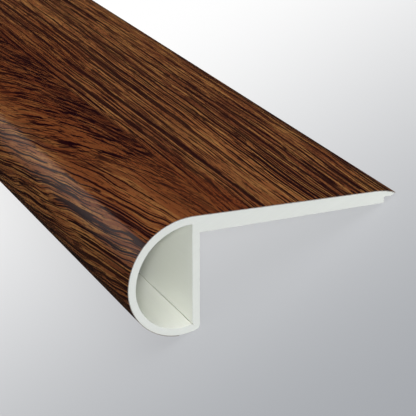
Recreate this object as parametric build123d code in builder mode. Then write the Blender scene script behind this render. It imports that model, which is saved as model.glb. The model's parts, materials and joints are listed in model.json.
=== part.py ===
"""Flush stair nosing: one length of hollow extruded PVC with a wood-print film laminated over its tread and nose.

The section is drawn as the nosing sits on a stair, with +X to the back of the stair and +Y up, and its
origin where the tread face of the extrusion meets the front line of the nose. The finished length lies
along Y with the film up, as it rests when laid on a floor: on the foot of its web and the back of its
flange. The origin is on the floor under the middle of its box.
"""

import math
import os

from build123d import *

# Stock
LENGTH = 2388.0  # a 94 in length
WIDTH = 69.6  # extrusion, front of the nose to the tip of the lip

# Hollow nose
NOSE_TOP_RADIUS = 16.7  # from the tread face down to the front line
NOSE_UNDER_RADIUS = 12.7  # from the front line round to the web
NOSE_WALL = 1.8
NOSE_DEPTH = 18.0  # front of the nose to the back face of the web
WEB_WALL = 1.9
FOOT_RADIUS = 1.0  # corner where the nose meets the back of the web

# Flange, a wedge that thins towards the back
FLANGE_AT_WEB = 4.1
FLANGE_AT_BACK = 3.1

# Lip that laps the floor covering
LIP_REACH = 3.1  # back face of the flange to the tip of the lip
REBATE = 1.55  # height of the flange's back face under the lip
LIP_EASE_RUN = 5.3  # stretch of the tread face that curves down to the tip
LIP_BEVEL_RUN = 1.3
LIP_BEVEL_RISE = 0.58

# Printed film
FILM = 0.2

# Points and radii of the section that follow from the sizes above
flange_back = WIDTH - LIP_REACH
lip_under = FLANGE_AT_BACK - REBATE
tip_drop = lip_under - LIP_BEVEL_RISE
ease_radius = (LIP_EASE_RUN**2 + tip_drop**2) / (2 * tip_drop)
ease_turn = math.degrees(math.asin(LIP_EASE_RUN / ease_radius))
ease_center = (WIDTH - LIP_EASE_RUN, -ease_radius)
nose_top_center = (NOSE_TOP_RADIUS, -NOSE_TOP_RADIUS)
nose_under_center = (NOSE_UNDER_RADIUS, -NOSE_TOP_RADIUS)
back_corner = (flange_back, -FLANGE_AT_BACK)
bevel_corner = (WIDTH - LIP_BEVEL_RUN, -lip_under)
lip_tip = (WIDTH, -tip_drop)


def nose_face(inset, back):
    """The nose's D-shaped outline, drawn inset from its outside and closed by a straight back."""
    with BuildSketch() as face:
        with BuildLine():
            top = CenterArc(nose_top_center, NOSE_TOP_RADIUS - inset, 90, 90)
            under = CenterArc(nose_under_center, NOSE_UNDER_RADIUS - inset, 180, 180)
            Polyline(under @ 1, ((under @ 1).X, -inset), top @ 0)
        make_face()
        split(bisect_by=Plane.YZ.offset(back), keep=Keep.BOTTOM)
    return face.sketch


def show_line(outside):
    """The line of the show face from lip to the lowest line of the nose, drawn outside the extrusion."""
    ease_end = (WIDTH - LIP_EASE_RUN, outside)
    ease = CenterArc(ease_center, ease_radius + outside, 90 - ease_turn, ease_turn)
    Line(ease_end, (NOSE_TOP_RADIUS, outside))
    CenterArc(nose_top_center, NOSE_TOP_RADIUS + outside, 90, 90)
    under = CenterArc(nose_under_center, NOSE_UNDER_RADIUS + outside, 180, 90)
    return ease @ 0, under @ 1


# Section of the extrusion: nose, web and flange in one, with the nose hollowed
with BuildSketch() as profile_section:
    add(nose_face(inset=0, back=NOSE_DEPTH))
    foot = profile_section.vertices().group_by(Axis.X)[-1].sort_by(Axis.Y)[0]
    fillet(foot, FOOT_RADIUS)
    with BuildLine():
        ease = CenterArc(ease_center, ease_radius, 90 - ease_turn, ease_turn)
        Polyline(
            ease @ 1,
            (NOSE_TOP_RADIUS, 0),
            (NOSE_DEPTH - WEB_WALL, -FLANGE_AT_WEB),
            (NOSE_DEPTH, -FLANGE_AT_WEB),
            back_corner,
            (flange_back, -lip_under),
            bevel_corner,
            lip_tip,
        )
    make_face()
    add(nose_face(inset=NOSE_WALL, back=NOSE_DEPTH - WEB_WALL), mode=Mode.SUBTRACT)

# Section of the film, a band of even thickness on the show face
with BuildSketch() as film_section:
    with BuildLine():
        inner_tip, inner_end = show_line(outside=0)
        outer_tip, outer_end = show_line(outside=FILM)
        Line(inner_tip, outer_tip)
        Line(inner_end, outer_end)
    make_face()

# Resting pose: the section leans back about its foot until the flange or the lip meets the floor
foot_x = NOSE_DEPTH - FOOT_RADIUS
foot_swing = NOSE_UNDER_RADIUS - FOOT_RADIUS
foot_y = -NOSE_TOP_RADIUS - math.sqrt(foot_swing**2 - (foot_x - NOSE_UNDER_RADIUS) ** 2)


def touch_angle(point):
    """How far the section leans, in radians, when this point and the foot are both on the floor."""
    across, rise = point[0] - foot_x, point[1] - foot_y
    return math.atan2(rise, across) + math.asin(FOOT_RADIUS / math.hypot(across, rise))


lean = min(touch_angle(point) for point in (back_corner, bevel_corner, lip_tip))
sections = Compound([profile_section.sketch, film_section.sketch])
lean_box = sections.rotate(Axis.Z, -math.degrees(lean)).bounding_box()
rest_plane = Plane(
    origin=(-lean_box.center().X, 0, -lean_box.min.Y),
    x_dir=(math.cos(lean), 0, -math.sin(lean)),
    z_dir=(0, -1, 0),
)

with BuildPart() as pvc_profile:
    with BuildSketch(rest_plane):
        add(profile_section.sketch)
    extrude(amount=LENGTH / 2, both=True)

with BuildPart() as wood_grain_film:
    with BuildSketch(rest_plane):
        add(film_section.sketch)
    extrude(amount=LENGTH / 2, both=True)

pvc_profile.part.label = "pvc_profile"
wood_grain_film.part.label = "wood_grain_film"

os.makedirs("parts", exist_ok=True)
export_step(pvc_profile.part, "parts/pvc_profile.step")
export_step(wood_grain_film.part, "parts/wood_grain_film.step")
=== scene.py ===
"""Looks of the flush stair nosing: extruded section, wood-print film over it, and the studio round it.

Sizes are in millimetres until a piece is placed, and in Blender's metres from there. The section is drawn
as the nosing sits on a stair, with u to the back of the stair and v up, from the point where the tread face
of the extrusion meets the front line of the nose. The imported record's mount on the back of the web tells
how that section leans and where it lies.
"""

import json
import math

import bpy
from mathutils import Matrix, Vector


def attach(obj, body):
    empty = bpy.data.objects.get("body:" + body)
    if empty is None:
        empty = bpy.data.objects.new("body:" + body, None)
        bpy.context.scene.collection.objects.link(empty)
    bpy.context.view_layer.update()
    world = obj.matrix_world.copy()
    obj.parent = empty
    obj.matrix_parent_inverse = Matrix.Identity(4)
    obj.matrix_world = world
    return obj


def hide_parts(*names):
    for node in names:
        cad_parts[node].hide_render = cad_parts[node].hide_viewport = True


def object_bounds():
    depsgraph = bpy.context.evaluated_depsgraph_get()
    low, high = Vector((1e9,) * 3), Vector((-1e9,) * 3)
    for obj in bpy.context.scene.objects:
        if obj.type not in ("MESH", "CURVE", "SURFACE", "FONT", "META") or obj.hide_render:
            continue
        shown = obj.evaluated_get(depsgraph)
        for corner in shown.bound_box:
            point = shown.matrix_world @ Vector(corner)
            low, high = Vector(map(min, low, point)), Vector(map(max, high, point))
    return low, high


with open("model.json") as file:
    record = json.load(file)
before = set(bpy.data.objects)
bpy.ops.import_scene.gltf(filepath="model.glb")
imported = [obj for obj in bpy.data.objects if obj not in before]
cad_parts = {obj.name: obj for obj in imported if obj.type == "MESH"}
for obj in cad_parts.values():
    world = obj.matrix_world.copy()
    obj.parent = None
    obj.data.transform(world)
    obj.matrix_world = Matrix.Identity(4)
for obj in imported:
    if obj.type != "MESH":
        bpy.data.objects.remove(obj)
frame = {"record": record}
cad_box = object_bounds()

MM = 0.001

# Section of the extrusion and its film, as the CAD has it
WIDTH = 69.6
NOSE_TOP_RADIUS = 16.7
NOSE_UNDER_RADIUS = 12.7
NOSE_WALL = 1.8
NOSE_DEPTH = 18.0
WEB_WALL = 1.9
FOOT_RADIUS = 1.0
FLANGE_AT_WEB = 4.1
FLANGE_AT_BACK = 3.1
LIP_REACH = 3.1
REBATE = 1.55
LIP_EASE_RUN = 5.3
LIP_BEVEL_RUN = 1.3
LIP_BEVEL_RISE = 0.58
FILM = 0.2

# What a die and a saw leave on the section's corners
DIE_CORNER = 0.2
CORNER_TURN = 18.0  # degrees between the facets of a corner
CORNER_HOLD = 0.3  # strip beside a corner that keeps the flat face flat
CUT_EDGE = 0.12
CREASE_HALF = 0.17  # on each side of the sharp crease at the foot of the web, inside the nose
CREASE_DEPTH = 0.6
CUT_EDGE_TURN = 45.0  # degrees: sharper edges than this are broken
SHARP_TURN = 30.0  # degrees: edges that turn less than this are shaded smooth
ARC_STEP = 2.0  # degrees between the facets of an arc
CLOSE_SEAM = 1e-6  # metres
END_ON = 0.5  # a face whose normal lies along the length by more than this is a cut end

# Points of the section that follow from the sizes above
flange_back = WIDTH - LIP_REACH
lip_under = FLANGE_AT_BACK - REBATE
tip_drop = lip_under - LIP_BEVEL_RISE
ease_start = WIDTH - LIP_EASE_RUN
ease_radius = (LIP_EASE_RUN**2 + tip_drop**2) / (2 * tip_drop)
ease_turn = math.degrees(math.asin(LIP_EASE_RUN / ease_radius))
ease_center = (ease_start, -ease_radius)
nose_top_center = (NOSE_TOP_RADIUS, -NOSE_TOP_RADIUS)
nose_under_center = (NOSE_UNDER_RADIUS, -NOSE_TOP_RADIUS)
foot_u = NOSE_DEPTH - FOOT_RADIUS
foot_swing = NOSE_UNDER_RADIUS - FOOT_RADIUS
foot_v = -NOSE_TOP_RADIUS - math.sqrt(foot_swing**2 - (foot_u - NOSE_UNDER_RADIUS) ** 2)
foot_angle = 360 + math.degrees(math.atan2(foot_v + NOSE_TOP_RADIUS, foot_u - NOSE_UNDER_RADIUS))

# Resting place, from the mount half way down the back of the web
web_mount = next(mount for mount in frame["record"]["mounts"] if mount["name"] == "riser_face")
lean = math.atan2(-web_mount["axis"][2], web_mount["axis"][0])
stair_back = Vector((math.cos(lean), 0, -math.sin(lean)))
stair_up = Vector((math.sin(lean), 0, math.cos(lean)))
web_middle = (NOSE_DEPTH, (foot_v - FLANGE_AT_WEB) / 2)
section_origin = Vector(web_mount["pos_m"]) - MM * (web_middle[0] * stair_back + web_middle[1] * stair_up)
length = cad_box[1][1] - cad_box[0][1]
far_end = cad_box[1][1]


def section_point(place):
    """A point of the finished piece as u and v of the section, in millimetres."""
    offset = Vector(place) - section_origin
    return offset.dot(stair_back) / MM, offset.dot(stair_up) / MM


def linear(hex_colour):
    """An sRGB hex colour as the linear RGBA that a shader socket takes."""
    channels = [int(hex_colour[i : i + 2], 16) / 255 for i in (1, 3, 5)]
    return tuple(c / 12.92 if c <= 0.04045 else ((c + 0.055) / 1.055) ** 2.4 for c in channels) + (1.0,)


def node(tree, kind, inputs=None, **settings):
    """Adds a node with these settings. An input is a value, an output to link, or a node to link from."""
    new = tree.nodes.new(kind)
    for name, value in settings.items():
        setattr(new, name, value)
    for key, given in (inputs or {}).items():
        live = [socket for socket in new.inputs if socket.enabled]
        first_named = {socket.name: socket for socket in reversed(live)}
        target = live[key] if isinstance(key, int) else first_named[key]
        for value in given if isinstance(given, list) else [given]:
            if isinstance(value, bpy.types.Node):
                value = next(socket for socket in value.outputs if socket.enabled)
            if isinstance(value, bpy.types.NodeSocket):
                tree.links.new(value, target)
            else:
                target.default_value = value
    return new


def empty_material(name):
    """A material that has no nodes yet."""
    material = bpy.data.materials.new(name)
    material.use_nodes = True
    material.node_tree.nodes.clear()
    return material


# Section outlines


def arc(center, radius, start, end):
    """Points of an arc between two angles in degrees."""
    count = max(2, math.ceil(abs(end - start) / ARC_STEP))
    angles = [math.radians(start + (end - start) * i / count) for i in range(count + 1)]
    return [(center[0] + radius * math.cos(a), center[1] + radius * math.sin(a)) for a in angles]


def show_line(outside):
    """The show face's line from lip tip to the lowest line of the nose, drawn outside the extrusion."""
    return (
        arc(ease_center, ease_radius + outside, 90 - ease_turn, 90)
        + arc(nose_top_center, NOSE_TOP_RADIUS + outside, 90, 180)
        + arc(nose_under_center, NOSE_UNDER_RADIUS + outside, 180, 270)[1:]
    )


def eased_corner(before, corner, after):
    """The small radius that a die gives a corner, with a narrow flat strip held on each side of it."""
    corner = Vector(corner)
    to_before = (Vector(before) - corner).normalized()
    to_after = (Vector(after) - corner).normalized()
    half_turn = (math.pi - to_before.angle(to_after)) / 2
    reach = DIE_CORNER * math.tan(half_turn)
    middle = corner + (to_before + to_after).normalized() * DIE_CORNER / math.cos(half_turn)
    first = corner + to_before * reach
    start = math.atan2(*(first - middle).yx)
    side = math.copysign(1, to_before.cross(to_after))
    count = math.ceil(2 * math.degrees(half_turn) / CORNER_TURN)
    points = [corner + to_before * (reach + CORNER_HOLD)]
    for i in range(count + 1):
        a = start - side * 2 * half_turn * i / count
        points.append(middle + DIE_CORNER * Vector((math.cos(a), math.sin(a))))
    points.append(corner + to_after * (reach + CORNER_HOLD))
    return [tuple(point) for point in points]


def extrusion_outline():
    """The outside of the extrusion: show face, rest of the nose's underside, foot, web, flange and lip."""
    show_face = show_line(outside=0)
    underside = arc(nose_under_center, NOSE_UNDER_RADIUS, 270, foot_angle)
    foot = arc((foot_u, foot_v), FOOT_RADIUS, foot_angle, 360)
    corners = [
        (NOSE_DEPTH, -FLANGE_AT_WEB),
        (flange_back, -FLANGE_AT_BACK),
        (flange_back, -lip_under),
        (WIDTH - LIP_BEVEL_RUN, -lip_under),
        (WIDTH, -tip_drop),
    ]
    around = [foot[-1]] + corners + [show_face[1]]
    eased = [eased_corner(*around[i : i + 3]) for i in range(len(corners))]
    return show_face[2:] + underside[1:] + foot[1:] + sum(eased, [])


def hollow_outline():
    """The inside of the nose, closed by the inner face of the web."""
    web_face = NOSE_DEPTH - WEB_WALL
    top_radius = NOSE_TOP_RADIUS - NOSE_WALL
    under_radius = NOSE_UNDER_RADIUS - NOSE_WALL
    top_angle = math.degrees(math.acos((web_face - NOSE_TOP_RADIUS) / top_radius))
    under_angle = 360 - math.degrees(math.acos((web_face - NOSE_UNDER_RADIUS) / under_radius))
    wall = arc(nose_top_center, top_radius, top_angle, 180)
    wall += arc(nose_under_center, under_radius, 180, under_angle)[1:]
    corner = Vector(wall[-1])
    to_wall = (Vector(wall[-2]) - corner).normalized()
    to_web = (Vector(wall[0]) - corner).normalized()
    deepest = corner - (to_wall + to_web).normalized() * CREASE_DEPTH
    low_crease = [corner + to_wall * CREASE_HALF, deepest, corner + to_web * CREASE_HALF]
    top_corner = eased_corner(wall[-1], wall[0], wall[1])
    return wall[2:-1] + [tuple(point) for point in low_crease] + top_corner


def film_outline():
    """The film as a thin band on the show face, cut square at both edges."""
    return show_line(outside=FILM) + show_line(outside=0)[::-1]


# Sweeping a section


def section_sweep():
    """Geometry Nodes tree that fills a section outline, draws it out to its length and lays it at rest."""
    tree = bpy.data.node_groups.new("section_sweep", "GeometryNodeTree")
    for name, kind in (
        ("Outline", "NodeSocketGeometry"),
        ("Length", "NodeSocketFloat"),
        ("Lean", "NodeSocketRotation"),
        ("Far End", "NodeSocketVector"),
        ("Skin", "NodeSocketMaterial"),
        ("Cut End", "NodeSocketMaterial"),
    ):
        tree.interface.new_socket(name, in_out="INPUT", socket_type=kind)
    tree.interface.new_socket("Piece", in_out="OUTPUT", socket_type="NodeSocketGeometry")
    given = node(tree, "NodeGroupInput").outputs
    loops = node(tree, "GeometryNodeMeshToCurve", {"Mesh": given["Outline"]})
    far_cut = node(tree, "GeometryNodeFillCurve", {"Curve": loops}, mode="NGONS")
    half = node(tree, "ShaderNodeMath", {0: given["Length"], 1: 0.5}, operation="MULTIPLY")
    straight = {"Offset": node(tree, "ShaderNodeCombineXYZ", {"Z": half}), "Individual": False}
    far_half = node(tree, "GeometryNodeExtrudeMesh", {"Mesh": far_cut} | straight, mode="FACES")
    drawn = {"Mesh": far_half, "Selection": far_half.outputs["Top"]}
    near_half = node(tree, "GeometryNodeExtrudeMesh", drawn | straight, mode="FACES")
    far_end_cut = node(tree, "GeometryNodeFlipFaces", {"Mesh": far_cut})
    whole = node(tree, "GeometryNodeJoinGeometry", {"Geometry": [near_half, far_end_cut]})
    closed = node(tree, "GeometryNodeMergeByDistance", {"Geometry": whole, "Distance": CLOSE_SEAM})
    resting = {"Geometry": closed, "Rotation": given["Lean"], "Translation": given["Far End"]}
    laid = node(tree, "GeometryNodeTransform", resting)
    real = node(tree, "GeometryNodeRealizeInstances", {"Geometry": laid})
    skin = node(tree, "GeometryNodeSetMaterial", {"Geometry": real, "Material": given["Skin"]})
    normal = node(tree, "GeometryNodeInputNormal")
    end_on = node(tree, "ShaderNodeVectorMath", {0: normal, 1: (0, 1, 0)}, operation="DOT_PRODUCT")
    facing = node(tree, "ShaderNodeMath", {0: end_on}, operation="ABSOLUTE")
    is_cut = node(tree, "FunctionNodeCompare", {0: facing, 1: END_ON}, operation="GREATER_THAN")
    sawn = {"Geometry": skin, "Selection": is_cut, "Material": given["Cut End"]}
    node(tree, "NodeGroupOutput", {"Piece": node(tree, "GeometryNodeSetMaterial", sawn)})
    return tree


def swept_piece(name, outlines, tree, skin, cut_end, cut_edge=0.0):
    """One length of a section as a plain mesh object, with the edges at its saw cuts broken."""
    points = []
    edges = []
    for outline in outlines:
        first = len(points)
        count = len(outline)
        points += [(u * MM, v * MM, 0) for u, v in outline]
        edges += [(first + i, first + (i + 1) % count) for i in range(count)]
    drawing = bpy.data.meshes.new(name + "_outline")
    drawing.from_pydata(points, edges, [])
    drawn = bpy.data.objects.new(name + "_outline", drawing)
    bpy.context.scene.collection.objects.link(drawn)
    sweep = drawn.modifiers.new("section_sweep", "NODES")
    sweep.node_group = tree
    place = section_origin + Vector((0, far_end, 0))
    given = {
        "Length": length,
        "Lean": (math.pi / 2, lean, 0),
        "Far End": tuple(place),
        "Skin": skin,
        "Cut End": cut_end,
    }
    for socket in tree.interface.items_tree:
        if socket.name in given:
            sweep[socket.identifier] = given[socket.name]
    if cut_edge:
        broken = drawn.modifiers.new("broken_edge", "BEVEL")
        broken.width = cut_edge * MM
        broken.segments = 1
        broken.limit_method = "ANGLE"
        broken.angle_limit = math.radians(CUT_EDGE_TURN)
    depsgraph = bpy.context.evaluated_depsgraph_get()
    mesh = bpy.data.meshes.new_from_object(drawn.evaluated_get(depsgraph), depsgraph=depsgraph)
    bpy.data.objects.remove(drawn)
    mesh.name = name
    mesh.materials.pop(index=0)  # the empty slot that a filled outline starts with
    mesh.set_sharp_from_angle(angle=math.radians(SHARP_TURN))
    piece = bpy.data.objects.new(name, mesh)
    bpy.context.scene.collection.objects.link(piece)
    return piece


# Film coordinates

EASE_LENGTH = math.radians(ease_turn) * ease_radius
TREAD_LENGTH = ease_start - NOSE_TOP_RADIUS
UPPER_NOSE_LENGTH = math.pi / 2 * NOSE_TOP_RADIUS
LOWER_NOSE_LENGTH = math.pi / 2 * NOSE_UNDER_RADIUS
FILM_WIDTH = EASE_LENGTH + TREAD_LENGTH + UPPER_NOSE_LENGTH + LOWER_NOSE_LENGTH

# Layout of the film's map for baking, in shares of its side, with the two halves of the length side by side
MAP_MARGIN = 0.005
MAP_RUN = 0.975  # half the length
MAP_FACE = 0.43  # width of the printed face
MAP_BACK = (0.447, 0.028)  # start and width of the glued face
MAP_LIP_EDGE = 0.482
MAP_LOW_EDGE = 0.491
MAP_EDGE = 0.004  # width of either edge
MAP_CUT = (0.99, 0.005)  # start and height of the cut end


def film_across(u, v):
    """Millimetres across the film from its edge at the lip, measured along the show face."""
    if u > ease_start:
        return EASE_LENGTH - ease_radius * math.atan2(u - ease_start, v + ease_radius)
    if u > NOSE_TOP_RADIUS and v > -NOSE_TOP_RADIUS:
        return EASE_LENGTH + ease_start - u
    if v > -NOSE_TOP_RADIUS:
        turn = math.atan2(NOSE_TOP_RADIUS - u, v + NOSE_TOP_RADIUS)
        return EASE_LENGTH + TREAD_LENGTH + NOSE_TOP_RADIUS * turn
    turn = math.atan2(-NOSE_TOP_RADIUS - v, NOSE_UNDER_RADIUS - u)
    return EASE_LENGTH + TREAD_LENGTH + UPPER_NOSE_LENGTH + NOSE_UNDER_RADIUS * turn


def is_outside(u, v):
    """Whether a point of the film is on its printed face, not on the face that is glued down."""
    if u > ease_start:
        return math.hypot(u - ease_start, v + ease_radius) > ease_radius + FILM / 2
    if v > -NOSE_TOP_RADIUS:
        over_nose = math.hypot(min(u - NOSE_TOP_RADIUS, 0), v + NOSE_TOP_RADIUS)
        return over_nose > NOSE_TOP_RADIUS + FILM / 2
    return math.hypot(u - NOSE_UNDER_RADIUS, v + NOSE_TOP_RADIUS) > NOSE_UNDER_RADIUS + FILM / 2


def map_film(film):
    """Gives the film its width as an attribute, and a map for baking that folds the length once."""
    mesh = film.data
    section = [section_point(vertex.co) for vertex in mesh.vertices]
    across = [film_across(u, v) for u, v in section]
    outside = [is_outside(u, v) for u, v in section]
    attribute = mesh.attributes.new("across_mm", "FLOAT", "POINT")
    attribute.data.foreach_set("value", across)
    layer = mesh.uv_layers.new(name="OFBake")
    for face in mesh.polygons:
        half = 0 if face.center.y < 0 else 1
        faces_out = [outside[i] for i in face.vertices]
        at_cut = abs(face.normal.y) > END_ON
        at_edge = any(faces_out) and not all(faces_out)
        at_lip = across[face.vertices[0]] < FILM_WIDTH / 2
        for corner, i in zip(face.loop_indices, face.vertices):
            share = across[i] / FILM_WIDTH
            side = MAP_MARGIN + MAP_FACE * share
            rise = MAP_MARGIN + MAP_RUN * abs(mesh.vertices[i].co.y) / (length / 2)
            if at_cut:
                rise = MAP_CUT[0] + MAP_CUT[1] * outside[i]
            elif at_edge:
                side = (MAP_LIP_EDGE if at_lip else MAP_LOW_EDGE) + MAP_EDGE * outside[i]
            elif not any(faces_out):
                side = MAP_BACK[0] + MAP_BACK[1] * share
            layer.uv[corner].vector = (side + half / 2, rise)


# Wood print

# Each part of the figure: width across the grain and run along it in millimetres, seed, octaves
FIGURE = {
    "edge": (1.0, 220.0, 334.5, 1.0),
    "sway": (45.0, 200.0, 436.5, 1.0),
    "drift": (250.0, 300.0, 340.5, 1.0),
    "wobble": (4.5, 26.0, 11.3, 1.0),
    "curl": (3.0, 4.0, 31.1, 1.0),
    "curly patch": (24.0, 180.0, 377.5, 1.0),
    "stroke": (0.5, 10.0, 33.4, 1.0),
    "band": (4.5, 160.0, 61.4, 2.0),
    "red patch": (22.0, 200.0, 79.5, 1.0),
    "cluster": (9.0, 140.0, 573.2, 1.0),
    "bold line": (1.2, 26.0, 41.7, 1.0),
    "fine line": (0.7, 13.0, 45.3, 1.0),
    "pore": (0.4, 9.0, 51.2, 1.0),
    "streak": (0.5, 24.0, 71.8, 2.0),
    "fleck": (0.35, 1.6, 91.6, 1.0),
}

# Noise levels between which a part fades in, how much of it shows at most, and how it ramps up
FADES = {
    "curly patch": (0.45, 0.60, 1.0, "SMOOTHSTEP"),
    "pore": (0.60, 0.70, 0.8, "SMOOTHSTEP"),
    "stroke": (0.49, 0.56, 1.0, "SMOOTHSTEP"),
    "band": (0.38, 0.62, 1.0, "SMOOTHSTEP"),
    "streak": (0.45, 0.68, 0.75, "SMOOTHSTEP"),
    "red patch": (0.50, 0.66, 1.0, "SMOOTHSTEP"),
    "fleck": (0.50, 0.75, 0.5, "LINEAR"),
}

# Millimetres that full noise moves the grain, and where it does
EDGE_PLACE = 45.5  # from the lip: the grain is straight before that edge, and figured past it
EDGE_ROAM = 16.0
SWAY = 10.0
DRIFT = 80.0
WOBBLE = (1.2, 2.6)  # before the edge and past it
CURL = 0.9
STRETCH_STEP = 0.05  # between two places across, to tell how far the lay is stretched there

# Growth lines and strokes
LINE_WEIGHT = (1.05, 0.9)  # before the edge and past it
MOST_STRETCH = 1.15  # past which lines that lie close get thinner
BRANCH = 0.30  # millimetres across for each one along, of the strokes in a curly patch
CURLY_THIN = 0.2  # how much less the lines crowd in a curly patch
CLUSTER = 0.5  # how much more a line shows where lines crowd together
SWELL = 1.3  # how much wider it is there

# Spacing, least and greatest width, and the noise levels between which a line fades in
GROWTH_LINES = {
    "bold line": (1.9, 0.46, 0.80, 0.35, 0.44),
    "fine line": (0.76, 0.28, 0.42, 0.42, 0.50),
}
LINE_EDGE = 0.05  # millimetres over which a line reaches its full tone
LINE_SCATTER = 0.8  # 0 spaces the lines evenly
LEAST_DEPTH = 0.85  # of the palest line's tone

DARK_BROWN = "#6C3D24"
MID_BROWN = "#8A5430"
GOLDEN = "#AE7C46"
RED_BROWN = "#682F15"
RED_SHARE = 0.7  # of the red in a red or curly patch
LINE_BROWN = "#180108"
PRINT_PRESS = (0.25, 0.05 * MM)  # strength and depth of the pressed lines
PRINT_ROUGHNESS = (0.09, 0.13)  # of the ground and of the lines
PRINT_IOR = 1.5
PRINT_SPECULAR = 0.3

# PVC as both pieces show it at a cut
PVC_IOR = 1.53
CUT_ROUGHNESS = 0.6
CUT_SPECULAR = 0.25
BASE_TONES = ("#8B8985", "#A09D98")
KNIFE_MARK = 1.5 * MM


def wood_print():
    """Decor film: a dark hardwood print under a semi-gloss clear layer, pressed lightly along its lines.

    The eye gets long, slightly waving dark lines on brown, some golden streaks, redder curly patches, and a
    soft sheen that breaks up over the lines.
    """
    material = empty_material("printed_pvc_decor_film")
    tree = material.node_tree
    across = node(tree, "ShaderNodeAttribute", attribute_name="across_mm").outputs["Fac"]
    place = node(tree, "ShaderNodeTexCoord").outputs["Object"]
    along = node(tree, "ShaderNodeVectorMath", {0: place, 1: (0, 1 / MM, 0)}, operation="DOT_PRODUCT")

    def figure(part, side):
        """One part of the figure, as noise that is stretched along the grain at this place across it."""
        width, run, seed, octaves = FIGURE[part]
        point = node(tree, "ShaderNodeCombineXYZ", {"X": side, "Y": along, "Z": seed})
        stretch = (1 / width, 1 / run, 1.0)
        scaled = node(tree, "ShaderNodeVectorMath", {0: point, 1: stretch}, operation="MULTIPLY")
        return node(tree, "ShaderNodeTexNoise", {"Vector": scaled, "Scale": 1.0, "Detail": octaves})

    def shown(part, side):
        """How much of that part of the figure shows at this place across the grain."""
        gone, whole, most, ramp = FADES[part]
        level = {"Value": figure(part, side), "From Min": gone, "From Max": whole, "To Max": most}
        return node(tree, "ShaderNodeMapRange", level, interpolation_type=ramp)

    # The grain's lay: straight up to an edge and drifting past it, with wobbles and some curly patches
    edge = {0: figure("edge", 0.0), 1: EDGE_ROAM, 2: EDGE_PLACE - EDGE_ROAM / 2}
    edge = node(tree, "ShaderNodeMath", edge, operation="MULTIPLY_ADD")
    figured = node(tree, "ShaderNodeMath", {0: across, 1: edge}, operation="GREATER_THAN")
    roam = node(tree, "ShaderNodeMix", {"Factor": figured, "A": WOBBLE[0], "B": WOBBLE[1]})
    weight = node(tree, "ShaderNodeMix", {"Factor": figured, "A": LINE_WEIGHT[0], "B": LINE_WEIGHT[1]})
    beside = node(tree, "ShaderNodeMath", {0: across, 1: STRETCH_STEP}, operation="ADD")
    # Each place across has a plain lay and one with wobbles. The second place is only for the stretch
    lays = []
    for side in (across, beside):
        swayed = {0: figure("sway", side), 1: SWAY, 2: side}
        swayed = node(tree, "ShaderNodeMath", swayed, operation="MULTIPLY_ADD")
        drifted = {0: figure("drift", side), 1: DRIFT, 2: side}
        drifted = node(tree, "ShaderNodeMath", drifted, operation="MULTIPLY_ADD")
        plain = node(tree, "ShaderNodeMix", {"Factor": figured, "A": swayed, "B": drifted})
        wobbled = {0: figure("wobble", side), 1: roam, 2: plain}
        lays.append((plain, node(tree, "ShaderNodeMath", wobbled, operation="MULTIPLY_ADD")))
    plain_lay, lay = lays[0]
    stretch = node(tree, "ShaderNodeMath", {0: lays[1][1], 1: lay}, operation="SUBTRACT")
    stretch = node(tree, "ShaderNodeMath", {0: stretch, 1: 1 / STRETCH_STEP}, operation="MULTIPLY")
    stretch = node(tree, "ShaderNodeMath", {0: stretch}, operation="ABSOLUTE")
    stretch = node(tree, "ShaderNodeMath", {0: stretch, 1: MOST_STRETCH}, operation="MINIMUM")
    stretch = node(tree, "ShaderNodeMath", {0: stretch, 1: weight}, operation="MULTIPLY")
    curly = {0: shown("curly patch", across), 1: figured}
    curly = node(tree, "ShaderNodeMath", curly, operation="MULTIPLY")

    # Dark growth lines in two weights: each has its own width and depth, and thins out where it ends
    crowd = {0: curly, 1: -CURLY_THIN, 2: figure("cluster", across)}
    crowd = node(tree, "ShaderNodeMath", crowd, operation="MULTIPLY_ADD")
    swell = node(tree, "ShaderNodeMath", {0: crowd, 1: SWELL, 2: 1 - SWELL / 2}, operation="MULTIPLY_ADD")
    swell = node(tree, "ShaderNodeMath", {0: swell, 1: stretch}, operation="MULTIPLY")
    dark = 0.0
    for part, (spacing, thin, thick, gone, whole) in GROWTH_LINES.items():
        seed = FIGURE[part][2]
        cell = node(tree, "ShaderNodeMath", {0: lay, 1: 1 / spacing, 2: seed}, operation="MULTIPLY_ADD")
        growth = {"W": cell, "Scale": 1.0, "Randomness": LINE_SCATTER}
        growth = node(tree, "ShaderNodeTexVoronoi", growth, voronoi_dimensions="1D")
        own = node(tree, "ShaderNodeSeparateColor", {"Color": growth.outputs["Color"]}).outputs
        body = {0: crowd, 1: CLUSTER, 2: figure(part, lay)}
        body = node(tree, "ShaderNodeMath", body, operation="MULTIPLY_ADD")
        body = {"Value": body, "From Min": gone + CLUSTER / 2, "From Max": whole + CLUSTER / 2}
        body = node(tree, "ShaderNodeMapRange", body, interpolation_type="SMOOTHSTEP")
        half = {"Value": own["Red"], "To Min": thin / 2 / spacing, "To Max": thick / 2 / spacing}
        half = node(tree, "ShaderNodeMapRange", half)
        half = node(tree, "ShaderNodeMath", {0: half, 1: body}, operation="MULTIPLY")
        half = node(tree, "ShaderNodeMath", {0: half, 1: swell}, operation="MULTIPLY")
        inside = {0: half, 1: growth.outputs["Distance"]}
        inside = node(tree, "ShaderNodeMath", inside, operation="SUBTRACT")
        line = {"Value": inside, "From Min": 0.0, "From Max": LINE_EDGE / spacing}
        line = node(tree, "ShaderNodeMapRange", line, interpolation_type="SMOOTHSTEP")
        depth = node(tree, "ShaderNodeMapRange", {"Value": own["Green"], "To Min": LEAST_DEPTH})
        line = node(tree, "ShaderNodeMath", {0: line, 1: depth}, operation="MULTIPLY")
        dark = node(tree, "ShaderNodeMath", {0: dark, 1: line}, operation="MAXIMUM")
    dark = node(tree, "ShaderNodeMath", {0: dark, 1: shown("pore", plain_lay)}, operation="MAXIMUM")

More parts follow.
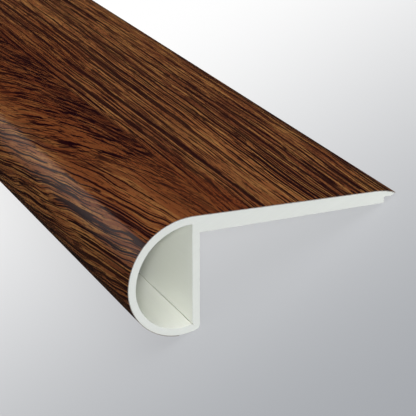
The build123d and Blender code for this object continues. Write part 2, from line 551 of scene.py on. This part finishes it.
    # Short waving strokes that branch off across the lay in the curly patches
    branch = node(tree, "ShaderNodeMath", {0: along, 1: -BRANCH, 2: across}, operation="MULTIPLY_ADD")
    branch = {0: figure("curl", across), 1: CURL, 2: branch}
    branch = node(tree, "ShaderNodeMath", branch, operation="MULTIPLY_ADD")
    strokes = {0: shown("stroke", branch), 1: curly}
    strokes = node(tree, "ShaderNodeMath", strokes, operation="MULTIPLY")
    dark = node(tree, "ShaderNodeMath", {0: dark, 1: strokes}, operation="MAXIMUM")

    # Brown ground with darker bands, golden streaks, redder patches and short flecks
    ground = {"Factor": shown("band", lay), "A": linear(DARK_BROWN), "B": linear(MID_BROWN)}
    ground = node(tree, "ShaderNodeMix", ground, data_type="RGBA")
    ground = {"Factor": shown("streak", lay), "A": ground, "B": linear(GOLDEN)}
    ground = node(tree, "ShaderNodeMix", ground, data_type="RGBA")
    red = {0: shown("red patch", across), 1: curly}
    red = node(tree, "ShaderNodeMath", red, operation="MAXIMUM")
    red = node(tree, "ShaderNodeMath", {0: red, 1: RED_SHARE}, operation="MULTIPLY")
    ground = {"Factor": red, "A": ground, "B": linear(RED_BROWN)}
    ground = node(tree, "ShaderNodeMix", ground, data_type="RGBA")
    flecked = {0: dark, 1: shown("fleck", plain_lay)}
    flecked = node(tree, "ShaderNodeMath", flecked, operation="MAXIMUM")
    colour = {"Factor": flecked, "A": ground, "B": linear(LINE_BROWN)}
    colour = node(tree, "ShaderNodeMix", colour, data_type="RGBA")

    # The press leaves the lines a little lower and duller than the ground
    low = node(tree, "ShaderNodeMath", {0: 1.0, 1: dark}, operation="SUBTRACT")
    strength, deep = PRINT_PRESS
    press = node(tree, "ShaderNodeBump", {"Height": low, "Strength": strength, "Distance": deep})
    glossy, dull = PRINT_ROUGHNESS
    sheen = node(tree, "ShaderNodeMapRange", {"Value": dark, "To Min": glossy, "To Max": dull})
    skin = {"Base Color": colour, "Roughness": sheen, "Normal": press}
    skin |= {"IOR": PRINT_IOR, "Specular IOR Level": PRINT_SPECULAR}
    skin = node(tree, "ShaderNodeBsdfPrincipled", skin)
    node(tree, "ShaderNodeOutputMaterial", {"Surface": skin})
    return material


def film_cut_edge():
    """The film's own body where it is cut through: a matt grey base sheet, mottled by the knife."""
    material = empty_material("cut_pvc_film_base")
    tree = material.node_tree
    place = node(tree, "ShaderNodeTexCoord").outputs["Object"]
    mottle = node(tree, "ShaderNodeTexNoise", {"Vector": place, "Scale": 1 / KNIFE_MARK, "Detail": 1.0})
    low, high = BASE_TONES
    tone = {"Factor": mottle, "A": linear(low), "B": linear(high)}
    tone = node(tree, "ShaderNodeMix", tone, data_type="RGBA")
    skin = {"Base Color": tone, "Roughness": CUT_ROUGHNESS}
    skin |= {"IOR": PVC_IOR, "Specular IOR Level": CUT_SPECULAR}
    skin = node(tree, "ShaderNodeBsdfPrincipled", skin)
    node(tree, "ShaderNodeOutputMaterial", {"Surface": skin})
    return material


# White PVC

SKIN_TONES = ("#F3F5EC", "#F8FAF3")
SKIN_ROUGHNESS = (0.36, 0.50)
SKIN_PRESS = (0.15, 0.05 * MM)  # strength and depth of the die lines
SKIN_SPECULAR = 0.3
# Die lines are finer than this: they are drawn coarser so that they show
DIE_LINE = (0.5 * MM, 400 * MM)
SAW_TONES = ("#CFD2CD", "#D6D9D4")
# The marks of a fine saw are finer than this: they are drawn coarser so that they show
TOOTH_MARK = (0.35 * MM, 9 * MM)
SAW_SLANT = math.radians(20)
SAW_PRESS = (0.2, 0.05 * MM)  # strength and depth of the tooth marks


def extruded_pvc():
    """Rigid white PVC as it leaves the die: an even off-white with faint lines drawn along the length."""
    material = empty_material("extruded_white_pvc")
    tree = material.node_tree
    place = node(tree, "ShaderNodeTexCoord").outputs["Object"]
    width, run = DIE_LINE
    drawn = {0: place, 1: (1 / width, 1 / run, 1 / width)}
    drawn = node(tree, "ShaderNodeVectorMath", drawn, operation="MULTIPLY")
    die_lines = node(tree, "ShaderNodeTexNoise", {"Vector": drawn, "Scale": 1.0, "Detail": 2.0})
    low, high = SKIN_TONES
    tone = {"Factor": die_lines, "A": linear(low), "B": linear(high)}
    tone = node(tree, "ShaderNodeMix", tone, data_type="RGBA")
    smooth, dull = SKIN_ROUGHNESS
    rough = node(tree, "ShaderNodeMapRange", {"Value": die_lines, "To Min": smooth, "To Max": dull})
    strength, deep = SKIN_PRESS
    press = node(tree, "ShaderNodeBump", {"Height": die_lines, "Strength": strength, "Distance": deep})
    skin = {"Base Color": tone, "Roughness": rough, "Normal": press}
    skin |= {"IOR": PVC_IOR, "Specular IOR Level": SKIN_SPECULAR}
    skin = node(tree, "ShaderNodeBsdfPrincipled", skin)
    node(tree, "ShaderNodeOutputMaterial", {"Surface": skin})
    return material


def saw_cut_pvc():
    """The same PVC where a fine saw went through it: matt, a little darker, with close tooth marks."""
    material = empty_material("saw_cut_white_pvc")
    tree = material.node_tree
    place = node(tree, "ShaderNodeTexCoord").outputs["Object"]
    width, run = TOOTH_MARK
    slanted = {"Vector": place, "Rotation": (0, SAW_SLANT, 0), "Scale": (1 / run, 1 / run, 1 / width)}
    slanted = node(tree, "ShaderNodeMapping", slanted)
    marks = node(tree, "ShaderNodeTexNoise", {"Vector": slanted, "Scale": 1.0, "Detail": 2.0})
    low, high = SAW_TONES
    tone = {"Factor": marks, "A": linear(low), "B": linear(high)}
    tone = node(tree, "ShaderNodeMix", tone, data_type="RGBA")
    strength, deep = SAW_PRESS
    press = node(tree, "ShaderNodeBump", {"Height": marks, "Strength": strength, "Distance": deep})
    skin = {"Base Color": tone, "Roughness": CUT_ROUGHNESS, "Normal": press}
    skin |= {"IOR": PVC_IOR, "Specular IOR Level": CUT_SPECULAR}
    skin = node(tree, "ShaderNodeBsdfPrincipled", skin)
    node(tree, "ShaderNodeOutputMaterial", {"Surface": skin})
    return material


# Pieces

sweep_tree = section_sweep()
film = swept_piece("printed_film", [film_outline()], sweep_tree, wood_print(), film_cut_edge())
map_film(film)
extrusion = swept_piece(
    "extrusion",
    [extrusion_outline(), hollow_outline()],
    sweep_tree,
    extruded_pvc(),
    saw_cut_pvc(),
    cut_edge=CUT_EDGE,
)
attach(film, "root")
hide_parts("wood_grain_film")
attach(extrusion, "root")
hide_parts("pvc_profile")

# Floor: a pale plane, with painted shade that darkens it towards the viewer

FLOOR_SIZE = 60.0
# The floor's own tone is white; the grey near the viewer is painted shade
FLOOR_SHADE_NEAR = "#A4A7AC"
FLOOR_FAR = "#FFFFFF"
GRADIENT_BEARING = math.radians(8)  # from the length of the nosing
GRADIENT_START = -1.283  # metres along that bearing
GRADIENT_END = -0.992
FLOOR_GLOW = 0.82  # share of the floor's pale tone that a shadow can't darken


def studio_floor():
    """Matt pale floor, with painted shade that darkens its tone towards the viewer. The tone is held up
    where it is seen, so that it stays as pale as it is written.
    """
    material = empty_material("matt_studio_floor")
    tree = material.node_tree
    place = node(tree, "ShaderNodeTexCoord").outputs["Object"]
    away = {0: place, 1: (math.sin(GRADIENT_BEARING), math.cos(GRADIENT_BEARING), 0)}
    away = node(tree, "ShaderNodeVectorMath", away, operation="DOT_PRODUCT")
    share = {"Value": away, "From Min": GRADIENT_START, "From Max": GRADIENT_END}
    share = node(tree, "ShaderNodeMapRange", share, interpolation_type="SMOOTHSTEP")
    # Painted shade: the tone goes from grey near the viewer to white far away
    tone = {"Factor": share, "A": linear(FLOOR_SHADE_NEAR), "B": linear(FLOOR_FAR)}
    tone = node(tree, "ShaderNodeMix", tone, data_type="RGBA")
    matt = node(tree, "ShaderNodeBsdfDiffuse", {"Color": tone})
    glow = node(tree, "ShaderNodeEmission", {"Color": tone, "Strength": 1.0})
    ray = node(tree, "ShaderNodeLightPath").outputs
    seen = {0: ray["Is Camera Ray"], 1: ray["Is Glossy Ray"]}
    seen = node(tree, "ShaderNodeMath", seen, operation="MAXIMUM")
    seen = node(tree, "ShaderNodeMath", {0: seen, 1: ray["Is Transmission Ray"]}, operation="MAXIMUM")
    held = node(tree, "ShaderNodeMath", {0: seen, 1: FLOOR_GLOW}, operation="MULTIPLY")
    look = node(tree, "ShaderNodeMixShader", {0: held, 1: matt, 2: glow})
    node(tree, "ShaderNodeOutputMaterial", {"Surface": look})
    return material


floor_mesh = bpy.data.meshes.new("floor")
half_floor = FLOOR_SIZE / 2
floor_corners = [(x * half_floor, y * half_floor, 0) for x, y in ((-1, -1), (1, -1), (1, 1), (-1, 1))]
floor_mesh.from_pydata(floor_corners, [], [(0, 1, 2, 3)])
floor_mesh.materials.append(studio_floor())
floor = bpy.data.objects.new("floor", floor_mesh)
bpy.context.scene.collection.objects.link(floor)
floor.visible_glossy = False  # the film's sheen shows no floor in the photograph

# Camera, at the photograph's place and angle

PICTURE = 416
FOCAL = 1888.0  # in pixels of that picture
SENSOR = 36.0
NEAREST = 0.01  # metres from the camera that it sees from, and up to
FARTHEST = 100.0
EYE = (-0.083047, -1.579268, 0.228919)
BEARING = math.radians(11.0892)  # from the length, towards the stair's back
DOWN = math.radians(27.3760)
ROLL = math.radians(-28.4154)

turned = Matrix.Rotation(-BEARING, 3, "Z") @ Matrix.Rotation(-DOWN, 3, "X")
forward = turned @ Vector((0, 1, 0))
level_right = forward.cross(Vector((0, 0, 1))).normalized()
level_up = level_right.cross(forward)
right = math.cos(ROLL) * level_right + math.sin(ROLL) * level_up
up = right.cross(forward)
view = bpy.data.cameras.new("camera")
view.sensor_fit = "HORIZONTAL"
view.sensor_width = SENSOR
view.lens = FOCAL / PICTURE * SENSOR
view.clip_start = NEAREST
view.clip_end = FARTHEST
camera = bpy.data.objects.new("camera", view)
camera.matrix_world = Matrix((right, up, -forward)).transposed().to_4x4()
camera.location = EYE
bpy.context.scene.collection.objects.link(camera)
bpy.context.scene.camera = camera
bpy.context.scene.view_settings.view_transform = "Standard"

# Light

# Where each lamp lies from the part, its level, and its spread in degrees
OVERHEAD = ((0.4, -0.1, 1.0), 0.66, 80)
FRONT = ((-0.14, -0.87, 0.47), 0.80, 8)


def soft_sun(name, towards, level, spread):
    """A lamp that lights the whole length alike. At level 1 a white surface that faces it is white."""
    lamp = bpy.data.lights.new(name, "SUN")
    lamp.energy = math.pi * level
    lamp.angle = math.radians(spread)
    placed = bpy.data.objects.new(name, lamp)
    placed.rotation_euler = Vector(towards).to_track_quat("Z", "Y").to_euler()
    bpy.context.scene.collection.objects.link(placed)


soft_sun("overhead", *OVERHEAD)
soft_sun("front", *FRONT)

# A strip behind that the nose mirrors: it is sharp at one edge and fades away from there
STRIP_EDGE = 139.5  # where on the nose that edge shows, in degrees round the section from the stair's back
STRIP_REACHES = (11.0, 14.0, 17.0, 20.0, 24.0)  # round the nose from there, in degrees
STRIP_STEP = 0.095  # brightness that each reach adds
for reach in STRIP_REACHES:
    place = math.radians(STRIP_EDGE + reach / 2)
    normal = math.cos(place) * stair_back + math.sin(place) * stair_up
    seen = 2 * math.pi * (1 - math.cos(math.radians(reach) / 2))  # solid angle of a disc that wide
    soft_sun("behind", forward.reflect(normal), STRIP_STEP * seen / math.pi, reach)

# The camera sees a white backdrop. Glossy rays see a dim room, because the photograph's sheen shows no white
WORLD_LIGHT = 0.01
world = bpy.data.worlds.new("studio")
world.use_nodes = True
bpy.context.scene.world = world
room = world.node_tree
room.nodes.clear()
ray = node(room, "ShaderNodeLightPath").outputs
level = node(room, "ShaderNodeMath", {0: ray["Is Camera Ray"], 1: WORLD_LIGHT}, operation="MAXIMUM")
level = node(room, "ShaderNodeMath", {0: level, 1: ray["Is Transmission Ray"]}, operation="MAXIMUM")
backdrop = node(room, "ShaderNodeBackground", {"Color": (1, 1, 1, 1), "Strength": level})
node(room, "ShaderNodeOutputWorld", {"Surface": backdrop})
